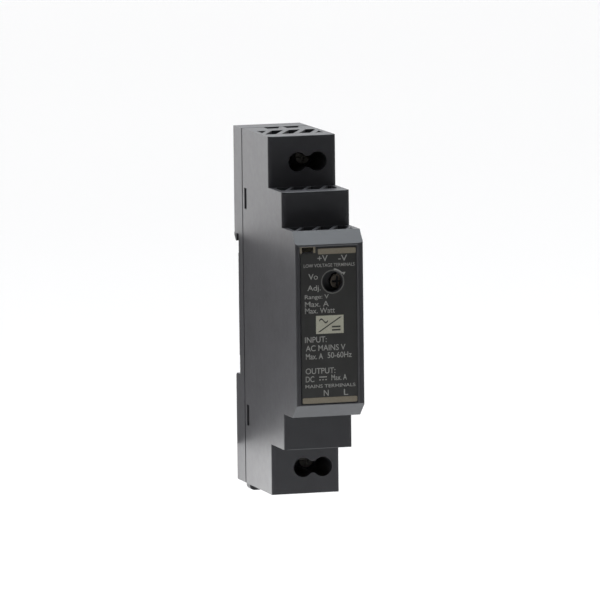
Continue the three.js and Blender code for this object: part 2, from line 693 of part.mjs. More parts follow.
// One E-shaped half of the core. side is 1 for the upper half and -1 for the lower one.
function transformerCore(side) {
  const { x, y, z } = TRANSFORMER;
  const near = z + side * 0.03;
  const far = z + side * 6.3;
  const block = box(x - 3.1, x + 3.1, y - 6.5, y + 6.5, near, far);
  const windowEnd = z + side * 4.5;
  return cut(block, [
    box(x - 4, x + 4, y - 4.7, y - 1.6, z - side, windowEnd),
    box(x - 4, x + 4, y + 1.6, y + 4.7, z - side, windowEnd),
  ]);
}

function sleeve(innerHalf, outerHalf, halfLength) {
  const { x, y, z } = TRANSFORMER;
  const outer = prism('z', placed(
    roundedRectangle(-outerHalf.x, outerHalf.x, -outerHalf.y, outerHalf.y, 0.8, 3), x, y),
  z - halfLength, z + halfLength);
  return cut(outer, [box(x - innerHalf.x, x + innerHalf.x, y - innerHalf.y, y + innerHalf.y,
    z - 20, z + 20)]);
}

function transformerBobbin() {
  const { x, z } = TRANSFORMER;
  const bore = { x: 3.25, y: 1.75 };
  const tube = sleeve(bore, { x: 3.75, y: 2.25 }, 4.3);
  const flanges = [-1, 1].map((side) => {
    const flange = sleeve(bore, { x: 5.3, y: 4.5 }, 4.3);
    return flange.intersect(box(x - 9, x + 9, -30, 0, z + side * 3.7, z + side * 4.3));
  });
  return union([tube, ...flanges]);
}

function transformerWinding() {
  return sleeve({ x: 3.8, y: 2.3 }, { x: 4.9, y: 4.2 }, 3.6);
}

function lyingCapacitor(y, z0, z1) {
  return rod('z', [1.05, y], 5, z0, z1, 32);
}

function standingCapacitor(y, z) {
  return rod('x', [y, z], 4, PART_X, PART_X + 11.2, 32);
}

const INDUCTOR = { centre: [-16, 27.4], flange: 4, waist: 2.2, height: 9, flangeHeight: 1.4 };

function outputInductor() {
  const { centre, flange, waist, height, flangeHeight } = INDUCTOR;
  const drum = rod('x', centre, flange, PART_X, PART_X + height, 32);
  const groove = cut(
    rod('x', centre, flange + 1, PART_X + flangeHeight, PART_X + height - flangeHeight, 32),
    [rod('x', centre, waist, PART_X, PART_X + height, 24)]);
  return cut(drum, [groove]);
}

function inductorWinding() {
  const { centre, flange, waist, height, flangeHeight } = INDUCTOR;
  const low = PART_X + flangeHeight + FIT;
  const high = PART_X + height - flangeHeight - FIT;
  const coil = rod('x', centre, flange - 0.2, low, high, 32);
  return cut(coil, [rod('x', centre, waist + FIT, low - 1, high + 1, 24)]);
}

function outputDiode() {
  const body = box(-2.4, 6.2, -25.3, -21.6, 11.5, 21.5);
  const leads = box(PART_X, -2, -23.6, -23.1, 13, 20);
  return body.add(leads);
}

function mainsFuse() {
  const body = rod('y', [-1.9, -30], 2.1, -14, -5, 20);
  const leads = [-13.4, -6].map((y) => box(PART_X, -3, y, y + 0.5, -30.25, -29.75));
  return union([body, ...leads]);
}

function snubberResistor() {
  const body = rod('z', [-2.6, -23.5], 1.5, -1, 7, 16);
  const leads = [-0.6, 6.1].map((z) => box(PART_X, -3, -23.75, -23.25, z, z + 0.5));
  return union([body, ...leads]);
}

function feedbackReference() {
  const round = rod('x', [-41, 3.5], 2.3, PART_X + 1, PART_X + 5, 20);
  const flat = box(-10, 10, -42.2, -30, -2, 8);
  const foot = box(PART_X, PART_X + 2, -41.6, -41, 2, 5);
  return round.intersect(flat).add(foot);
}

// ---- The assembly -------------------------------------------------------------------

const supply = new THREE.Group();

function add(name, solid, slot) {
  const mesh = new THREE.Mesh(toGeometry(solid), MATERIALS[slot].clone());
  mesh.name = name;
  supply.add(mesh);
}

add('front_housing', frontHousing(), 'housing');
add('rear_cover', rearCover(), 'housing');
add('front_label', frontLabel(), 'label');
add('led_light_pipe', ledLightPipe(), 'lens');
add('rail_latch', railLatch(), 'latch');
add('latch_spring', latchSpring(), 'steel');
add('main_board', mainBoard(), 'board');
add('insulation_sheet', insulationSheet(), 'sheet');
add('trimpot_body', trimpotBody(), 'terminal');
add('trimpot_rotor', trimpotRotor(), 'bronze');

const ENDS = [
  { name: 'output', side: 1, poles: ['positive', 'negative'] },
  { name: 'input', side: -1, poles: ['neutral', 'line'] },
];
for (const end of ENDS) {
  add(`${end.name}_terminal_block`, terminalBlock(end.side), 'terminal');
  end.poles.forEach((pole, index) => {
    const x = POLES_X[index];
    add(`${pole}_screw`, terminalScrew(x, end.side), 'steel');
    add(`${pole}_clamp_cage`, clampCage(x, end.side), 'brass');
    add(`${pole}_contact_bar`, contactBar(x, end.side, index), 'copper');
  });
}

// Mains side, in the order that the current takes.
add('mains_fuse', mainsFuse(), 'fuse');
add('varistor', discPart(-30, -26.2, -25.6, 4), 'ceramic');
add('inrush_thermistor', discPart(-22.2, -18.2, -29, 3.8), 'thermistor');
add('x_capacitor', boardBlock(-37, -32, -29, -16, 11), 'film');
add('choke_core', chokeRing(0), 'ferrite');
add('choke_winding_line', chokeWinding(1), 'copper');
add('choke_winding_neutral', chokeWinding(-1), 'copper');
add('bridge_rectifier', boardBlock(-23, -16.5, -23, -14.5, 3.3), 'chip');
add('bulk_capacitor_1', lyingCapacitor(-43, -19, -1.5), 'can');
add('bulk_capacitor_2', lyingCapacitor(-32, -14, 4), 'can');
add('switching_controller', boardBlock(-25.6, -19.1, -12.5, -3, 3.5), 'chip');
add('snubber_resistor', snubberResistor(), 'resistor');

// The isolation barrier.
add('transformer_core_upper', transformerCore(1), 'ferrite');
add('transformer_core_lower', transformerCore(-1), 'ferrite');
add('transformer_bobbin', transformerBobbin(), 'terminal');
add('transformer_winding', transformerWinding(), 'tape');
add('y_capacitor', discPart(-11.5, -7.9, 9.5, 3.7), 'ceramic');
add('optocoupler', boardBlock(-20, -15.4, 5.6, 12.1, 3.4), 'chip');

// Output side.
add('output_diode', outputDiode(), 'chip');
add('diode_heatsink', box(PART_X, 6.6, -26.7, -25.5, 9, 24), 'aluminium');
add('output_capacitor_1', standingCapacitor(-32.5, 25.7), 'can');
add('output_capacitor_2', standingCapacitor(-32.5, 17), 'can');
add('output_inductor_core', outputInductor(), 'ferrite');
add('output_inductor_winding', inductorWinding(), 'copper');
add('feedback_reference', feedbackReference(), 'chip');
add('status_led', boardBlock(-48.4, -46.9, 18.2, 19.8, 1.4, 0.2), 'led');

export default supply;
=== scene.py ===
"""The looks of a slim DIN rail power supply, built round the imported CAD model.

Everything is in metres, in the model's own frame: the rail seat's middle is the origin, the
panel faces -Y and the rail lies at +Y.
"""

import json
import math

import bmesh
import bpy
from mathutils import Matrix, Vector


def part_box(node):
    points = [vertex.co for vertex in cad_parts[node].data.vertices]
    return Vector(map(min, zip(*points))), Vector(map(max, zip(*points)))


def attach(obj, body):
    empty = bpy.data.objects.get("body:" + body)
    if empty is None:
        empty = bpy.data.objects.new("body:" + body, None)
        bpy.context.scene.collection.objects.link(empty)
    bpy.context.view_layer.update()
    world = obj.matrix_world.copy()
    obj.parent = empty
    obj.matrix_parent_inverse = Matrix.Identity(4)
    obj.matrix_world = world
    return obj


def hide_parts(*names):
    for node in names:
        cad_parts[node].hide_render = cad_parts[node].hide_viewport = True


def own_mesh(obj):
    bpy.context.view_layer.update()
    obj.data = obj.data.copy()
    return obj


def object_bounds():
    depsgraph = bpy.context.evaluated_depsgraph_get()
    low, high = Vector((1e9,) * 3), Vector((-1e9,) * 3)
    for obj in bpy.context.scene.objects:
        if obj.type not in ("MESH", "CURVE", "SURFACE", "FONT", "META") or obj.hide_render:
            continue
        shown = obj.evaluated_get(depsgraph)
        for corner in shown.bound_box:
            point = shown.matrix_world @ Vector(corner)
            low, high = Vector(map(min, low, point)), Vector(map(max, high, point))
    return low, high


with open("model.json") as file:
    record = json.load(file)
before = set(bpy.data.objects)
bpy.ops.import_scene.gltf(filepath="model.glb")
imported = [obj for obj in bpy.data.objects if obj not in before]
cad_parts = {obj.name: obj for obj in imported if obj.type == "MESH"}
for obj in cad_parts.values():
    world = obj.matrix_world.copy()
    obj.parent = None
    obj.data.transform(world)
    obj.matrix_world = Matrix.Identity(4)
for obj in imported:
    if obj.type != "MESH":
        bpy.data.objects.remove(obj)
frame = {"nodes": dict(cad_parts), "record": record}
CAD_LOW, CAD_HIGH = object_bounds()

MM = 0.001
NODES = frame["nodes"]
SCENE = bpy.context.scene

# ---- The camera and the studio ----------------------------------------------------------

CAMERA_AZIMUTH = math.radians(16.429)
CAMERA_ELEVATION = math.radians(6.894)
CAMERA_ROLL = math.radians(-0.664)
CAMERA_DISTANCE = 2.0964
CAMERA_AIM = Vector((0.33, -23.75, 3.245)) * MM
SENSOR_WIDTH = 36.0
LENS = 503.14
FLOOR_DROP = 0.25
FLOOR_RADIUS = 6.0
BRIGHT_SIDE = Vector((-0.35, 0.94, 0))
WORLD_STRENGTH = 1.52


def make_camera():
    """A long lens to the left of the panel and a little above it."""
    a, e, r = CAMERA_AZIMUTH, CAMERA_ELEVATION, CAMERA_ROLL
    forward = Vector((math.sin(a) * math.cos(e), math.cos(a) * math.cos(e), -math.sin(e)))
    level = Vector((math.cos(a), -math.sin(a), 0))
    upright = level.cross(forward)
    right = level * math.cos(r) + upright * math.sin(r)
    up = upright * math.cos(r) - level * math.sin(r)
    data = bpy.data.cameras.new("camera")
    data.sensor_width = SENSOR_WIDTH
    data.lens = LENS
    data.clip_start = 0.05
    data.clip_end = 50
    camera = bpy.data.objects.new("camera", data)
    turn = Matrix((right, up, -forward)).transposed().to_4x4()
    camera.matrix_world = Matrix.Translation(CAMERA_AIM - forward * CAMERA_DISTANCE) @ turn
    SCENE.collection.objects.link(camera)
    SCENE.camera = camera


def area_light(name, place, aim, size, power, colour=(1, 1, 1)):
    """A soft box at place, turned to face aim."""
    data = bpy.data.lights.new(name, "AREA")
    data.shape = "RECTANGLE"
    data.size, data.size_y = size
    data.energy = power
    data.color = colour
    light = bpy.data.objects.new(name, data)
    light.location = place
    light.rotation_mode = "QUATERNION"
    light.rotation_quaternion = (Vector(aim) - Vector(place)).to_track_quat("-Z", "Y")
    SCENE.collection.objects.link(light)
    return light


def make_world():
    """A pale studio: bright behind the object and to its left, dim in front and to its right."""
    world = bpy.data.worlds.new("studio")
    world.use_nodes = True
    tree = world.node_tree
    tree.nodes.clear()
    coords = tree.nodes.new("ShaderNodeTexCoord")
    towards = tree.nodes.new("ShaderNodeVectorMath")
    towards.operation = "DOT_PRODUCT"
    towards.inputs[1].default_value = BRIGHT_SIDE
    ramp = tree.nodes.new("ShaderNodeValToRGB")
    spread = tree.nodes.new("ShaderNodeMapRange")
    background = tree.nodes.new("ShaderNodeBackground")
    output = tree.nodes.new("ShaderNodeOutputWorld")
    spread.inputs["From Min"].default_value = -1
    spread.inputs["From Max"].default_value = 1
    dim, bright = ramp.color_ramp.elements
    dim.position = 0.2
    dim.color = (0.08, 0.08, 0.09, 1)
    bright.position = 0.62
    bright.color = (1, 1, 1, 1)
    background.inputs["Strength"].default_value = WORLD_STRENGTH
    tree.links.new(coords.outputs["Generated"], towards.inputs[0])
    tree.links.new(towards.outputs["Value"], spread.inputs["Value"])
    tree.links.new(spread.outputs["Result"], ramp.inputs["Fac"])
    tree.links.new(ramp.outputs["Color"], background.inputs["Color"])
    tree.links.new(background.outputs["Background"], output.inputs["Surface"])
    SCENE.world = world


def make_floor():
    """A pale floor well below the supply, which hangs on its rail in use."""
    mesh = bpy.data.meshes.new("floor")
    bm = bmesh.new()
    bmesh.ops.create_circle(bm, cap_ends=True, radius=FLOOR_RADIUS, segments=96)
    bm.to_mesh(mesh)
    bm.free()
    floor = bpy.data.objects.new("floor", mesh)
    floor.location = (0, 0, CAD_LOW.z - FLOOR_DROP)
    material = bpy.data.materials.new("floor_paint")
    material.use_nodes = True
    tree = material.node_tree
    shader = tree.nodes["Principled BSDF"]
    shader.inputs["Roughness"].default_value = 0.7
    noise = tree.nodes.new("ShaderNodeTexNoise")
    noise.inputs["Scale"].default_value = 9
    ramp = tree.nodes.new("ShaderNodeValToRGB")
    ramp.color_ramp.elements[0].color = (0.93, 0.93, 0.93, 1)
    ramp.color_ramp.elements[1].color = (0.96, 0.96, 0.96, 1)
    tree.links.new(noise.outputs["Fac"], ramp.inputs["Fac"])
    tree.links.new(ramp.outputs["Color"], shader.inputs["Base Color"])
    mesh.materials.append(material)
    SCENE.collection.objects.link(floor)


def studio_card(name, corners, shade, diffuse=False):
    """A card out of the camera's sight: it darkens what mirrors it or, if diffuse, faces it."""
    mesh = bpy.data.meshes.new(name)
    mesh.from_pydata(corners, [], [(0, 1, 2, 3)])
    material = bpy.data.materials.new(name + "_paper")
    material.use_nodes = True
    shader = material.node_tree.nodes["Principled BSDF"]
    shader.inputs["Base Color"].default_value = (shade, shade, shade, 1)
    shader.inputs["Roughness"].default_value = 0.9
    mesh.materials.append(material)
    card = bpy.data.objects.new(name, mesh)
    SCENE.collection.objects.link(card)
    card.visible_camera = False
    card.visible_diffuse = diffuse
    card.visible_shadow = False
    card.visible_transmission = False


def upright_corners(left, right, y, low, high):
    """The corners of an upright rectangle at depth y."""
    return [(left, y, low), (right, y, low), (right, y, high), (left, y, high)]


def make_cards():
    """Cards where the rail would run on to the left, and one in front and one behind."""
    left, right, y = CAD_LOW.x - 260 * MM, CAD_LOW.x - 0.1 * MM, CAD_HIGH.y + 0.1 * MM
    rail_low, rail_high, shade_low = -12 * MM, 17.5 * MM, -36 * MM
    rail = upright_corners(left, right, y, rail_low, rail_high)
    shade_under_rail = upright_corners(left, right, y, shade_low, rail_low)
    behind = upright_corners(left=-0.1, right=0.8, y=1.0, low=0.03, high=0.3)
    in_front = upright_corners(left=-0.34, right=0.5, y=-0.3, low=-0.075, high=0.35)
    studio_card("rail_card", rail, 0.02)
    studio_card("shade_card", shade_under_rail, 0.1)
    studio_card("back_card", behind, 0.45)
    studio_card("front_card", in_front, 0.02, diffuse=True)


def make_lights():
    """Soft boxes over the object, behind it to both sides, and one low beside its left wall."""
    area_light("top_box", place=(0.1, 0.14, 0.9), aim=(0, -0.02, 0), size=(0.8, 0.8),
               power=13.5, colour=(0.88, 0.95, 1))
    area_light("back_left_box", place=(-0.9, 1.1, 0.5), aim=(0, 0, 0), size=(0.9, 1.2), power=16)
    area_light("back_right_box", place=(1.0, 0.9, 0.6), aim=(0, 0, 0), size=(0.8, 1.0), power=2)
    low_box = area_light("low_left_box", place=(-0.14, 0.02, -0.096), aim=(-0.14, -1, -0.096),
                         size=(0.245, 0.114), power=0.15)
    low_box.visible_camera = False


def make_studio():
    make_world()
    make_floor()
    make_cards()
    make_lights()
    SCENE.view_settings.view_transform = "Standard"


# ---- Materials --------------------------------------------------------------------------


class Surface:
    """A Principled material with its pattern nodes, in the object's own metres."""

    def __init__(self, name, roughness, metallic=0.0):
        self.material = bpy.data.materials.new(name)
        self.material.use_nodes = True
        self.tree = self.material.node_tree
        self.shader = self.tree.nodes["Principled BSDF"]
        self.shader.inputs["Metallic"].default_value = metallic
        self.shader.inputs["Roughness"].default_value = roughness
        self.coords = self.tree.nodes.new("ShaderNodeTexCoord")
        self.height = None

    def node(self, kind, **inputs):
        """A new node with its sockets set by name, where _ stands for a space."""
        made = self.tree.nodes.new(kind)
        for key, value in inputs.items():
            made.inputs[key.replace("_", " ")].default_value = value
        return made

    def link(self, source, target):
        self.tree.links.new(source, target)

    def noise(self, size, detail=2.0, stretch=(1, 1, 1), roughness=0.5):
        """Noise whose features are about size metres across."""
        mapping = self.node("ShaderNodeMapping")
        mapping.inputs["Scale"].default_value = stretch
        made = self.node("ShaderNodeTexNoise", Scale=1 / size, Detail=detail, Roughness=roughness)
        self.link(self.coords.outputs["Object"], mapping.inputs["Vector"])
        self.link(mapping.outputs["Vector"], made.inputs["Vector"])
        return made.outputs["Fac"]

    def wave(self, pitch, direction, distortion=0.0):
        """Bands a pitch apart along an axis."""
        made = self.node("ShaderNodeTexWave", Scale=math.pi / (10 * pitch), Distortion=distortion)
        made.bands_direction = direction
        self.link(self.coords.outputs["Object"], made.inputs["Vector"])
        return made.outputs["Fac"]

    def ramp(self, source, stops):
        """A colour ramp with (position, colour) stops."""
        made = self.tree.nodes.new("ShaderNodeValToRGB")
        elements = made.color_ramp.elements
        while len(elements) < len(stops):
            elements.new(0.5)
        for element, (position, colour) in zip(elements, stops):
            element.position = position
            element.color = (*colour, 1)
        self.link(source, made.inputs["Fac"])
        return made.outputs["Color"]

    def colour(self, source, low, high, start=0.3, end=0.7):
        """Lets the base colour drift between two colours with a pattern."""
        self.link(self.ramp(source, [(start, low), (end, high)]), self.shader.inputs["Base Color"])

    def rough(self, source, low, high):
        """Lets the roughness drift between two values with a pattern."""
        spread = self.node("ShaderNodeMapRange", To_Min=low, To_Max=high)
        self.link(source, spread.inputs["Value"])
        self.link(spread.outputs["Result"], self.shader.inputs["Roughness"])

    def bump(self, source, strength, distance):
        """Adds a height pattern over the ones before it."""
        made = self.node("ShaderNodeBump", Strength=strength, Distance=distance)
        self.link(source, made.inputs["Height"])
        if self.height is not None:
            self.link(self.height, made.inputs["Normal"])
        self.height = made.outputs["Normal"]
        self.link(self.height, self.shader.inputs["Normal"])


def tint(colour, factor):
    """A lighter or darker version of a colour."""
    return tuple(min(1.0, c * factor) for c in colour)


def moulded_plastic(name, colour, roughness, grain=0.11, grain_strength=0.25):
    """Satin plastic from a spark-eroded mould: fine grain, slow drifts of tone and sheen."""
    surface = Surface(name, roughness)
    drift = surface.noise(7 * MM, 3)
    surface.colour(drift, tint(colour, 0.88), tint(colour, 1.12))
    surface.rough(surface.noise(1.6 * MM, 4), roughness - 0.05, roughness + 0.05)
    surface.bump(surface.noise(grain * MM, 2), grain_strength, 0.02 * MM)
    surface.bump(surface.noise(3.5 * MM, 1), 0.12, 0.05 * MM)
    return surface.material


def metal(name, colour, roughness, brushed=(1, 1, 1), scratch=0.05):
    """Plated metal with fine draw marks and slightly uneven sheen."""
    surface = Surface(name, roughness, 1.0)
    marks = surface.noise(scratch * MM, 3, brushed)
    surface.colour(surface.noise(0.8 * MM, 3), tint(colour, 0.86), tint(colour, 1.08))
    surface.rough(marks, roughness - 0.08, roughness + 0.12)
    surface.bump(marks, 0.2, 0.01 * MM)
    return surface.material


def label_film():
    """Dark printed polyester film with a faint orange-peel gloss."""
    surface = Surface("label_film", 0.38)
    surface.colour(surface.noise(5 * MM, 3), (0.015, 0.0145, 0.0135), (0.02, 0.0195, 0.018))
    surface.rough(surface.noise(1.2 * MM, 3), 0.33, 0.42)
    surface.bump(surface.noise(0.35 * MM, 2), 0.12, 0.02 * MM)
    return surface.material


def printed_ink(name, colour):
    """Screen-printed ink: slightly uneven cover over a film."""
    surface = Surface(name, 0.55)
    surface.colour(surface.noise(0.25 * MM, 3), tint(colour, 0.86), tint(colour, 1.06))
    surface.rough(surface.noise(0.5 * MM, 2), 0.48, 0.62)
    surface.bump(surface.noise(0.12 * MM, 2), 0.2, 0.01 * MM)
    return surface.material


def circuit_board():
    """Green solder mask over copper tracks and a glass weave."""
    surface = Surface("solder_mask", 0.35)
    tracks_per_metre = 420.0
    voronoi = surface.node("ShaderNodeTexVoronoi", Scale=tracks_per_metre)
    voronoi.distance = "MANHATTAN"
    surface.link(surface.coords.outputs["Object"], voronoi.inputs["Vector"])
    tracks = surface.ramp(voronoi.outputs["Distance"], [
        (0.3, (0.016, 0.1, 0.04)), (0.42, (0.03, 0.17, 0.07))])
    surface.link(tracks, surface.shader.inputs["Base Color"])
    surface.rough(surface.noise(0.6 * MM, 2), 0.3, 0.45)
    surface.bump(voronoi.outputs["Distance"], 0.3, 0.05 * MM)
    surface.bump(surface.noise(0.3 * MM, 1), 0.1, 0.02 * MM)
    return surface.material


def wound_copper(name, colour, pitch, direction):
    """Turns of enamelled wire laid side by side, with painted shade in the grooves between them.
    """
    surface = Surface(name, 0.35, 0.9)
    turns = surface.wave(pitch * MM, direction)
    # The colour darkens into the grooves between the turns: painted shade.
    surface.colour(turns, tint(colour, 0.35), colour, 0.05, 0.6)
    surface.rough(surface.noise(0.5 * MM, 2), 0.28, 0.42)
    surface.bump(turns, 0.9, 0.5 * pitch * MM)
    return surface.material


def tape_wrap():
    """Yellow polyester tape, wound in overlapping layers."""
    surface = Surface("winding_tape", 0.3)
    layers = surface.wave(2.6 * MM, "Z", 0.4)
    surface.colour(layers, (0.42, 0.3, 0.02), (0.68, 0.5, 0.05), 0.1, 0.5)
    surface.rough(surface.noise(1 * MM, 2), 0.22, 0.36)
    surface.bump(surface.noise(0.9 * MM, 3, (1, 1, 3)), 0.3, 0.06 * MM)
    return surface.material


def shrink_sleeve(name, colour, stripe, axis):
    """A capacitor's shrink sleeve, with its pale polarity stripe on one side."""
    surface = Surface(name, 0.3)
    split = surface.node("ShaderNodeSeparateXYZ")
    surface.link(surface.coords.outputs["Generated"], split.inputs[0])
    band = surface.ramp(split.outputs[axis], [
        (0.0, colour), (0.8, colour), (0.805, stripe), (1.0, stripe)])
    surface.link(band, surface.shader.inputs["Base Color"])
    surface.rough(surface.noise(0.8 * MM, 2), 0.24, 0.36)
    surface.bump(surface.noise(0.6 * MM, 3), 0.15, 0.03 * MM)
    return surface.material


def coated_disc(name, colour):
    """Dipped epoxy: lumpy and glossy."""
    surface = Surface(name, 0.28)
    surface.colour(surface.noise(1.4 * MM, 3), tint(colour, 0.8), tint(colour, 1.15))
    surface.rough(surface.noise(0.9 * MM, 2), 0.2, 0.4)
    surface.bump(surface.noise(1.3 * MM, 2), 0.6, 0.15 * MM)
    return surface.material


def smoked_lens():
    """Dark tinted acrylic with a moulded ripple inside it."""
    surface = Surface("smoked_acrylic", 0.25)
    surface.colour(surface.noise(0.8 * MM, 2), (0.006, 0.005, 0.003), (0.014, 0.012, 0.007))
    surface.shader.inputs["Specular IOR Level"].default_value = 0.3
    surface.bump(surface.wave(0.28 * MM, "X"), 0.25, 0.03 * MM)
    surface.bump(surface.noise(0.4 * MM, 2), 0.1, 0.01 * MM)
    return surface.material


CASE_COLOUR = (0.021, 0.0205, 0.0235)
MATERIALS = {
    "housing": moulded_plastic("case_plastic", CASE_COLOUR, 0.42),
    "label": label_film(),
    "lens": smoked_lens(),
    "latch": moulded_plastic("latch_nylon", (0.009, 0.009, 0.01), 0.45, 0.2, 0.3),
    "steel": metal("nickel_plate", (0.62, 0.6, 0.56), 0.28, (1, 12, 1)),
    # The screws' nickel is darker than the spring's: painted shade for the deep openings they sit
    # in.
    "screw": metal("nickel_with_painted_shade", (0.36, 0.34, 0.31), 0.3, (1, 12, 1)),
    "brass": metal("plated_brass", (0.66, 0.5, 0.26), 0.3, (1, 1, 10)),
    "board": circuit_board(),
    "sheet": moulded_plastic("insulating_film", (0.6, 0.57, 0.45), 0.4, 0.4, 0.1),
    "terminal": moulded_plastic("terminal_nylon", (0.018, 0.018, 0.019), 0.5, 0.18, 0.3),
    "bronze": metal("dark_bronze", (0.1, 0.085, 0.07), 0.4, (1, 10, 1)),
    "ceramic": coated_disc("blue_epoxy", (0.04, 0.14, 0.36)),
    "thermistor": coated_disc("dark_epoxy", (0.016, 0.03, 0.024)),
    "film": moulded_plastic("film_capacitor_case", (0.66, 0.46, 0.05), 0.36, 0.3, 0.15),
    "ferrite": moulded_plastic("sintered_ferrite", (0.035, 0.035, 0.037), 0.62, 0.14, 0.7),
    "copper": metal("copper_plate", (0.62, 0.3, 0.14), 0.3, (1, 8, 1)),
    "tape": tape_wrap(),
    "chip": moulded_plastic("chip_epoxy", (0.012, 0.012, 0.013), 0.55, 0.16, 0.6),
    "can": shrink_sleeve("capacitor_sleeve", (0.012, 0.014, 0.022), (0.5, 0.52, 0.55), 0),
    "aluminium": metal("rolled_aluminium", (0.74, 0.74, 0.76), 0.35, (1, 1, 20)),
    "resistor": coated_disc("resistor_lacquer", (0.25, 0.36, 0.42)),
    "led": moulded_plastic("led_lens", (0.1, 0.4, 0.12), 0.2, 0.5, 0.05),
    "fuse": shrink_sleeve("fuse_sleeve", (0.14, 0.09, 0.05), (0.16, 0.11, 0.06), 2),
    "winding": wound_copper("choke_turns", (0.55, 0.22, 0.08), 0.7, "Y"),
    "coil": wound_copper("inductor_turns", (0.55, 0.22, 0.08), 0.5, "X"),
    "trimmer": moulded_plastic("trimmer_case", (0.004, 0.004, 0.0045), 0.6, 0.2, 0.3),
}
STRIP_INK = printed_ink("strip_ink", (0.175, 0.15, 0.108))
LEGEND_INK = printed_ink("legend_ink", (0.25, 0.245, 0.23))
PLATE_INK = printed_ink("plate_ink", (0.35, 0.34, 0.27))
RING_INK = printed_ink("ring_ink", (0.1, 0.098, 0.09))
DARK_INK = printed_ink("dark_ink", (0.03, 0.028, 0.024))
POLES = ("positive", "negative", "neutral", "line")
MATERIAL_BY_NODE = {
    **{f"{pole}_screw": "screw" for pole in POLES},
    "choke_winding_line": "winding",
    "choke_winding_neutral": "winding",
    "output_inductor_winding": "coil",
    "trimpot_body": "trimmer",
}

# ---- The CAD nodes' finish --------------------------------------------------------------

# Edge radii in millimetres, for the nodes whose edges differ from SMALL_BEVEL.
BEVELS = {
    "front_housing": 0.14,
    "rear_cover": 0.14,
    "rail_latch": 0.25,
    "front_label": 0.04,
    "led_light_pipe": 0.05,
    "trimpot_rotor": 0.08,
}
SMALL_BEVEL = 0.12
SHARP_ANGLE = math.radians(32)


def soften_edges(obj, width):
    """Gives a CAD node the small moulded or tumbled radius of its real edges."""
    for polygon in obj.data.polygons:
        polygon.use_smooth = True
    weld = obj.modifiers.new("weld", "WELD")
    weld.merge_threshold = 0.002 * MM
    flatten = obj.modifiers.new("flatten", "DECIMATE")
    flatten.decimate_type = "DISSOLVE"
    flatten.angle_limit = math.radians(0.5)
    bevel = obj.modifiers.new("edges", "BEVEL")
    bevel.width = width * MM
    bevel.segments = 3
    bevel.limit_method = "ANGLE"
    bevel.angle_limit = SHARP_ANGLE
    bevel.use_clamp_overlap = True
    # With the other corner joints, some of the long flat faces overlap themselves.
    bevel.miter_outer = "MITER_PATCH"
    normals = obj.modifiers.new("normals", "WEIGHTED_NORMAL")
    normals.keep_sharp = False
    normals.weight = 80


def finish_cad_nodes():
    """Gives every CAD node its material, and all but the coil's node softened edges."""
    slots = {part["node"]: part["material_slot"] for part in frame["record"]["subparts"]}
    for name, obj in NODES.items():
        obj.data.materials.clear()
        obj.data.materials.append(MATERIALS[MATERIAL_BY_NODE.get(name, slots[name])])
        if name != "latch_spring":
            soften_edges(obj, BEVELS.get(name, SMALL_BEVEL))


# ---- Piece helpers ----------------------------------------------------------------------


def add_piece(name, mesh, material, body="case"):
    """A visual piece that rides on one of the model's bodies."""
    mesh.materials.clear()
    mesh.materials.append(material)
    piece = bpy.data.objects.new(name, mesh)
    SCENE.collection.objects.link(piece)
    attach(piece, body)
    return piece


def mesh_from_curve(curve):
    """The filled mesh of a curve or a text, which itself leaves the scene again."""
    holder = bpy.data.objects.new(curve.name + "_curve", curve)
    SCENE.collection.objects.link(holder)
    bpy.context.view_layer.update()
    evaluated = holder.evaluated_get(bpy.context.evaluated_depsgraph_get())
    mesh = bpy.data.meshes.new_from_object(evaluated)
    bpy.data.objects.remove(holder)
    mesh.name = curve.name
    return mesh


def solid_from_curve(curve, y_front, y_back):
    """Extrudes a flat curve between two depths and stands it up to face -Y."""
    depth = y_back - y_front
    rounding = depth * 0.2
    curve.extrude = depth / 2 - rounding
    curve.bevel_depth = rounding
    curve.bevel_resolution = 1
    curve.offset = -rounding
    mesh = mesh_from_curve(curve)
    stand = Matrix.Translation((0, (y_front + y_back) / 2, 0)) @ Matrix.Rotation(
        math.radians(90), 4, "X")
    mesh.transform(stand)
    return mesh


def panel_prism(name, outline, y_front, y_back, holes=()):
    """A thin inlay on the panel from an outline in X and Z, with its front edges rounded."""
    curve = bpy.data.curves.new(name, "CURVE")
    curve.dimensions = "2D"
    curve.fill_mode = "BOTH"
    for loop in (outline, *holes):
        spline = curve.splines.new("POLY")
        spline.points.add(len(loop) - 1)
        for point, (x, z) in zip(spline.points, loop):
            point.co = (x, z, 0, 1)
        spline.use_cyclic_u = True
    return solid_from_curve(curve, y_front, y_back)


def arc_points(x, z, radius, start, end, steps):
    """Points on an arc between two angles in degrees."""
    angles = [math.radians(start + (end - start) * step / steps) for step in range(steps + 1)]
    return [(x + radius * math.cos(angle), z + radius * math.sin(angle)) for angle in angles]


def rounded_rectangle(x0, x1, z0, z1, radius, steps=5):
    """An outline in X and Z with a quarter circle at each corner."""
    points = []
    corners = ((x1 - radius, z1 - radius, 0), (x0 + radius, z1 - radius, 90),
               (x0 + radius, z0 + radius, 180), (x1 - radius, z0 + radius, 270))
    for x, z, start in corners:
        points += arc_points(x, z, radius, start, start + 90, steps)
    return points


# ---- The printed panel ------------------------------------------------------------------

LABEL_LOW, LABEL_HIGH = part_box("front_label")
LENS_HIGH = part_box("led_light_pipe")[1]
PRINT_FRONT = LABEL_LOW.y - 0.03 * MM
PRINT_BACK = LABEL_LOW.y - 0.002 * MM
STRIP_FRONT = LABEL_LOW.y - 0.05 * MM


def ink_patch(name, outline, ink, front=PRINT_FRONT, back=PRINT_BACK):
    """A flat shape printed on the panel, or laid on it."""
    add_piece(name, panel_prism(name, outline, front, back), ink)


def ink_bar(name, left, right, middle, height, ink, front=PRINT_FRONT, back=PRINT_BACK):
    """A plain bar given in millimetres."""
    low, high = (middle - height / 2) * MM, (middle + height / 2) * MM
    outline = [(left * MM, low), (right * MM, low), (right * MM, high), (left * MM, high)]
    ink_patch(name, outline, ink, front, back)


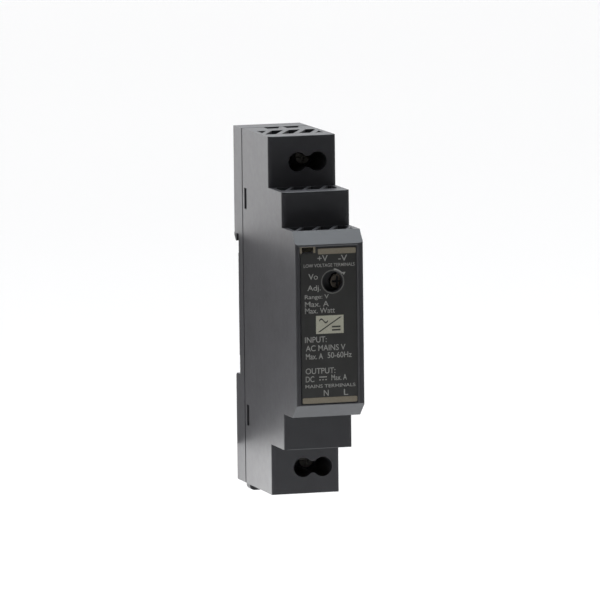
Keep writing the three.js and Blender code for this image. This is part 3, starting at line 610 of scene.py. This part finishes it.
def make_strips():
    """The pale strips at the panel's top and bottom."""
    height = 1.4 * MM
    right = LABEL_HIGH.x - 0.05 * MM
    top = LABEL_HIGH.z - 0.25 * MM
    bottom = LABEL_LOW.z + 0.1 * MM
    top_strip = rounded_rectangle(LENS_HIGH.x + 0.75 * MM, right, top - height, top, 0.25 * MM)
    bottom_strip = rounded_rectangle(
        LABEL_LOW.x + 0.1 * MM, right, bottom, bottom + height, 0.35 * MM)
    ink_patch("top_strip", top_strip, STRIP_INK, STRIP_FRONT)
    ink_patch("bottom_strip", bottom_strip, STRIP_INK, STRIP_FRONT)


def make_light_bezel():
    """A frame with three sides round the light window, open at the bottom."""
    left, right = -7.52 * MM, -3.5 * MM
    inner_left, inner_right = -7.03 * MM, -4.07 * MM
    top, inner_top = 19.78 * MM, 19.58 * MM
    low = 18.12 * MM
    outline = [(left, low), (inner_left, low), (inner_left, inner_top), (inner_right, inner_top),
               (inner_right, low), (right, low), (right, top), (left, top)]
    ink_patch("light_bezel", outline, STRIP_INK, LABEL_LOW.y, LABEL_HIGH.y)


def text_mesh(name, body):
    """Characters as a thin solid, lying flat."""
    curve = bpy.data.curves.new(name, "FONT")
    curve.body = body
    curve.size = 2 * MM
    curve.resolution_u = 4
    curve.offset = 0.012 * MM
    curve.extrude = (PRINT_BACK - PRINT_FRONT) / 2
    return mesh_from_curve(curve)


def legend(name, body, left, right, middle, height):
    """Printed characters that fill the given width and height, centred on a height."""
    mesh = text_mesh(name, body)
    xs = [v.co.x for v in mesh.vertices]
    ys = [v.co.y for v in mesh.vertices]
    scale_x = (right - left) * MM / (max(xs) - min(xs))
    scale_z = height * MM / (max(ys) - min(ys))
    centre_y = (max(ys) + min(ys)) / 2
    for vertex in mesh.vertices:
        x, y, z = vertex.co
        vertex.co = (
            left * MM + (x - min(xs)) * scale_x,
            (PRINT_FRONT + PRINT_BACK) / 2 - z,
            middle * MM + (y - centre_y) * scale_z,
        )
    mesh.update()
    add_piece(name, mesh, LEGEND_INK)


# Each legend's name and text, then its left, right, middle height and height in millimetres.
LEGENDS = [
    ("legend_plus", "+V", -3.05, -0.4, 16.75, 1.5),
    ("legend_minus", "-V", 2.3, 4.6, 16.65, 1.5),
    ("legend_output_side", "LOW VOLTAGE TERMINALS", -6.6, 6.5, 15.0, 0.85),
    ("legend_output_level", "Vo", -5.4, -3.0, 12.25, 1.45),
    ("legend_adjust", "Adj.", -5.7, -2.3, 9.25, 1.75),
    ("legend_range", "Range: V", -6.4, -0.25, 7.1, 1.35),
    ("legend_current", "Max. A", -6.4, -0.25, 5.45, 1.35),
    ("legend_power", "Max. Watt", -6.4, 1.3, 3.8, 1.35),
    ("legend_input", "INPUT:", -6.5, -0.9, -3.4, 1.45),
    ("legend_input_kind", "AC MAINS V", -6.3, 3.9, -5.5, 1.45),
    ("legend_input_rating", "Max. A", -6.3, -1.9, -7.55, 1.45),
    ("legend_input_frequency", "50-60Hz", -0.7, 5.5, -7.4, 1.45),
    ("legend_output", "OUTPUT:", -6.4, 1.25, -11.2, 1.45),
    ("legend_output_kind", "DC", -6.4, -4.2, -13.2, 1.45),
    ("legend_output_rating", "Max. A", 0.2, 4.2, -13.0, 1.45),
    ("legend_input_side", "MAINS TERMINALS", -6.5, 6.4, -15.0, 0.85),
    ("legend_neutral", "N", -1.8, -0.55, -16.75, 1.5),
    ("legend_live", "L", 3.4, 4.5, -16.75, 1.5),
]


def make_legends():
    for name, body, left, right, middle, height in LEGENDS:
        legend(name, body, left, right, middle, height)


def make_direct_current_sign():
    """The general sign for direct current: a whole line over three dashes."""
    left, right = -2.95, -0.95
    line_middle, dash_middle, thickness = -12.75, -13.45, 0.28
    ink_bar("direct_line", left, right, line_middle, thickness, LEGEND_INK)
    dash = (right - left) * 0.22
    for index, start in enumerate((left, (left + right - dash) / 2, right - dash), start=1):
        end = start + dash
        ink_bar(f"direct_dash_{index}", start, end, dash_middle, thickness, LEGEND_INK)


def make_adjuster_ring():
    """A thin ring round the trimmer's hole, with a bolder arc that shows the way to turn."""
    x, z = 0.8 * MM, 10.85 * MM
    inner, outer, bold = 2.74 * MM, 2.98 * MM, 3.3 * MM
    steps = 56
    ring = panel_prism("adjuster_ring", arc_points(x, z, outer, 0, 360, steps)[:-1],
                       PRINT_FRONT, PRINT_BACK, [arc_points(x, z, inner, 360, 0, steps)[:-1]])
    add_piece("adjuster_ring", ring, RING_INK)
    arc_start, arc_end, arc_steps = 38, 84, 12
    band = arc_points(x, z, bold, arc_start, arc_end, arc_steps)
    band += arc_points(x, z, outer, arc_end, arc_start, arc_steps)
    ink_patch("adjuster_arc", band, LEGEND_INK)
    arrow_head = [(x + 2.9 * MM, z + 1.55 * MM), (x + 3.35 * MM, z + 2.3 * MM),
                  (x + 2.3 * MM, z + 2.25 * MM)]
    ink_patch("adjuster_tip", arrow_head, LEGEND_INK)


def make_converter_symbol():
    """A pale plate with the general sign for a converter: a diagonal, a wave and two bars."""
    left, right, low, high = -3.6, 3.5, -2.0, 2.5
    ink_bar("symbol_plate", left, right, (low + high) / 2, high - low, PLATE_INK)
    line = 0.42
    slant = line * 1.3
    margin = 0.45
    front, back = PRINT_FRONT - 0.012 * MM, PRINT_FRONT + 0.002 * MM
    diagonal = [((left + margin) * MM, (low + margin) * MM),
                ((left + margin + slant) * MM, (low + margin) * MM),
                ((right - margin) * MM, (high - margin) * MM),
                ((right - margin - slant) * MM, (high - margin) * MM)]
    ink_patch("symbol_diagonal", diagonal, DARK_INK, front, back)
    wave_left, wave_length, wave_middle, wave_height = -2.8, 2.3, 1.2, 0.45
    steps = 16
    upper = []
    lower = []
    for step in range(steps + 1):
        share = step / steps
        x = (wave_left + wave_length * share) * MM
        z = (wave_middle + wave_height * math.sin(2 * math.pi * share)) * MM
        upper.append((x, z + line * MM / 2))
        lower.append((x, z - line * MM / 2))
    ink_patch("symbol_wave", upper + lower[::-1], DARK_INK, front, back)
    bar_left, bar_right = 0.5, 2.7
    for index, middle in enumerate((-0.35, -1.15), start=1):
        name = f"symbol_bar_{index}"
        ink_bar(name, bar_left, bar_right, middle, line, DARK_INK, front, back)


def make_panel():
    make_strips()
    make_light_bezel()
    make_legends()
    make_direct_current_sign()
    make_adjuster_ring()
    make_converter_symbol()


def make_rotor_slot_shade():
    """A black sheet on the floor of the trimmer's cross slot, painted shade for the slot, which
    turns with the rotor.
    """
    low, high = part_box("trimpot_rotor")
    x, z = (low.x + high.x) / 2, (low.z + high.z) / 2
    slot_depth, thickness = 0.59 * MM, 0.03 * MM
    floor = low.y + slot_depth
    across, along = 0.29 * MM, 1.29 * MM
    outline = [(x + across, z + across), (x + across, z + along), (x - across, z + along),
               (x - across, z + across), (x - along, z + across), (x - along, z - across),
               (x - across, z - across), (x - across, z - along), (x + across, z - along),
               (x + across, z - across), (x + along, z - across), (x + along, z + across)]
    mesh = panel_prism("rotor_slot_shade", outline, floor - thickness, floor)
    # The trimmer case's black plastic serves here as painted shade at the bottom of the slot.
    add_piece("rotor_slot_shade", mesh, MATERIALS["trimmer"], "trim_rotor")


# ---- The latch spring -------------------------------------------------------------------


WIRE_RADIUS = 0.2 * MM
COIL_RADIUS = 1.05 * MM
TURNS = 9
CLOSED_TURNS = 1


def wire_height(turn, bottom, top):
    """The height of the wire's middle at a turn, with closed turns at both ends."""
    closed_rise = 2 * WIRE_RADIUS
    lower_share = min(turn / CLOSED_TURNS, 1)
    upper_share = max(turn - (TURNS - CLOSED_TURNS), 0) / CLOSED_TURNS
    open_share = min(max((turn - CLOSED_TURNS) / (TURNS - 2 * CLOSED_TURNS), 0), 1)
    open_rise = top - bottom - 2 * closed_rise
    return bottom + closed_rise * (lower_share + upper_share) + open_rise * open_share


def wire_rings(bm, low, high):
    """Rings of vertices round the wire, from the coil's lower end to its upper end."""
    centre = (low + high) / 2
    upward = Vector((0, 0, 1))
    steps_per_turn = 36
    sides = 12
    rings = []
    for step in range(TURNS * steps_per_turn + 1):
        turn = step / steps_per_turn
        angle = 2 * math.pi * turn
        outward = Vector((math.cos(angle), math.sin(angle), 0))
        height = wire_height(turn, low.z + WIRE_RADIUS, high.z - WIRE_RADIUS)
        middle = Vector((centre.x, centre.y, height)) + outward * COIL_RADIUS
        ring = []
        for side in range(sides):
            around = 2 * math.pi * side / sides
            offset = outward * math.cos(around) + upward * math.sin(around)
            ring.append(bm.verts.new(middle + offset * WIRE_RADIUS))
        rings.append(ring)
    return rings


def make_latch_spring():
    """A smooth coil of round wire, in place of the latch spring's CAD node."""
    low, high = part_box("latch_spring")
    bm = bmesh.new()
    rings = wire_rings(bm, low, high)
    for first, second in zip(rings, rings[1:]):
        for side in range(len(first)):
            after = (side + 1) % len(first)
            bm.faces.new((first[side], first[after], second[after], second[side]))
    bm.faces.new(rings[0][::-1])
    bm.faces.new(rings[-1])
    bmesh.ops.recalc_face_normals(bm, faces=bm.faces)
    mesh = bpy.data.meshes.new("coil_spring")
    bm.to_mesh(mesh)
    bm.free()
    for polygon in mesh.polygons:
        polygon.use_smooth = True
    piece = add_piece("coil_spring", mesh, MATERIALS["steel"])
    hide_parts("latch_spring")
    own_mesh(piece)


# ---- Put it together --------------------------------------------------------------------

make_camera()
make_studio()
finish_cad_nodes()
make_panel()
make_rotor_slot_shade()
make_latch_spring()
